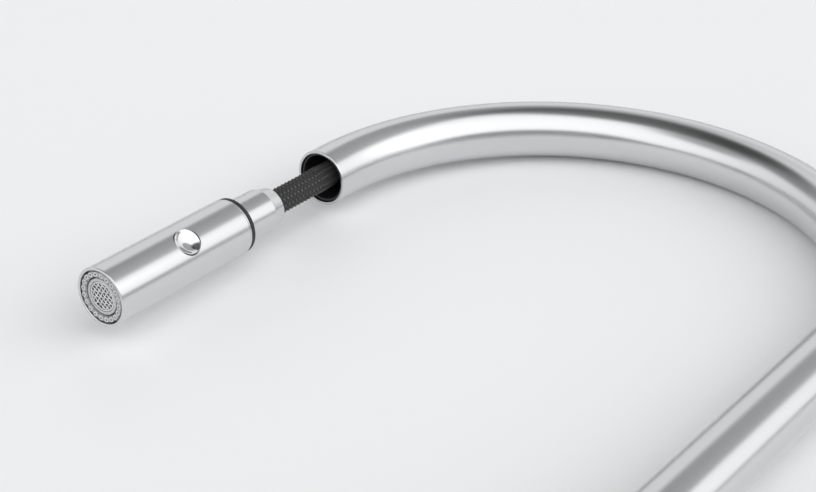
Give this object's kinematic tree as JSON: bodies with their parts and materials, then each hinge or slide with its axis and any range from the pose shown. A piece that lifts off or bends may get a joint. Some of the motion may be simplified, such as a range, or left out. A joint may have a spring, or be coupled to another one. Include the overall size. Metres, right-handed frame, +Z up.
{
  "type": "pull down kitchen faucet",
  "caption": "Gooseneck kitchen faucet with a pull-down spray head on a braided hose, a push-button diverter, a side lever and a threaded shank with its deck clamp.",
  "frame": {"origin": "centre of the mounting hole, on the top of the deck that the faucet stands on", "axes": "+Z up out of the deck along the body, spout toward -Y, handle on the +X side"},
  "size_m": [0.0895, 0.3496, 0.8489],
  "materials": {
    "satin_steel": "satin brushed stainless steel",
    "polished_steel": "polished steel",
    "brass": "machined brass",
    "copper": "drawn copper pipe",
    "ceramic": null,
    "black_rubber": "matt black rubber",
    "black_braid": "black nylon braid over hose",
    "grey_rubber": "matt grey rubber",
    "grey_plastic": "matt grey plastic",
    "white_plastic": "matt white plastic",
    "black_plastic": "matt black plastic"
  },
  "bodies": {
    "base": {"body_shell": "satin_steel", "base_flange": "satin_steel", "base_gasket": "black_rubber", "shank": "brass", "rubber_washer": "black_rubber", "steel_washer": "satin_steel", "shank_nut": "brass", "clamp_screw_1": "polished_steel", "clamp_screw_2": "polished_steel", "manifold": "brass", "inlet_hot": "brass", "inlet_cold": "brass", "outlet_pipe": "copper", "quick_connector": "black_plastic", "hose_sleeve": "polished_steel", "swivel_bush": "white_plastic", "cartridge_housing": "white_plastic", "cartridge_seal": "black_rubber", "fixed_disc": "ceramic", "cartridge_nut": "brass", "cartridge_dome": "satin_steel", "hose_body_run": "black_braid", "hose_loop": "black_braid"},
    "spout": {"spout_tube": "satin_steel", "spout_collar": "satin_steel", "spout_o_ring_1": "black_rubber", "spout_o_ring_2": "black_rubber", "dock_bush": "black_plastic", "hose_arch_run": "black_braid"},
    "hose_end": {"hose_head_run": "black_braid", "hose_ferrule": "polished_steel", "swivel_nut": "brass"},
    "head": {"head_shell": "satin_steel", "dock_washer": "polished_steel", "dock_seal": "black_rubber", "dock_collar": "satin_steel", "spray_ring": "grey_rubber", "aerator_cup": "grey_plastic", "mesh_screen": "polished_steel", "face_seal": "black_rubber", "valve_core": "white_plastic", "inlet_screen": "grey_rubber", "check_valve": "grey_plastic", "button_spring": "polished_steel"},
    "button": {"diverter_button": "polished_steel"},
    "turret": {"turret": "grey_plastic", "pivot_pin": "polished_steel"},
    "lever": {"handle_hub": "satin_steel", "stem": "brass", "lever_rod": "satin_steel", "set_screw": "polished_steel", "hub_plug": "grey_plastic"},
    "disc": {"moving_disc": "ceramic", "disc_carrier": "grey_plastic"}
  },
  "joints": [
    {"name": "spout_swivel", "type": "hinge", "parent": "base", "child": "spout", "pos_m": [0, 0, 0.118], "axis": [0, 0, 1], "range_deg": [-60, 60]},
    {"name": "head_pull", "type": "slide", "parent": "spout", "child": "hose_end", "axis": [0, 0, -1], "range_m": [-0.0555, 0.35], "deforming": ["hose_head_run"]},
    {"name": "head_spin", "type": "hinge", "parent": "hose_end", "child": "head", "pos_m": [0, -0.24, 0.25], "axis": [0, 0, 1], "continuous": true},
    {"name": "diverter_press", "type": "slide", "parent": "head", "child": "button", "axis": [-0.788, -0.6157, 0], "range_m": [0, 0.0015], "stiffness_N_per_m": 900},
    {"name": "handle_turn", "type": "hinge", "parent": "base", "child": "turret", "pos_m": [0.034, 0, 0.075], "axis": [1, 0, 0], "range_deg": [0, 100]},
    {"name": "handle_lift", "type": "hinge", "parent": "turret", "child": "lever", "pos_m": [0.034, 0, 0.075], "axis": [0, 0.2588, -0.9659], "range_deg": [0, 20]},
    {"name": "disc_slide", "type": "slide", "parent": "turret", "child": "disc", "axis": [0, 0.9659, 0.2588], "range_m": [0, 0.0039]}
  ],
  "couplings": [
    {"joint": "disc_slide", "follows": "handle_lift", "m_per_rad": 0.011}
  ]
}
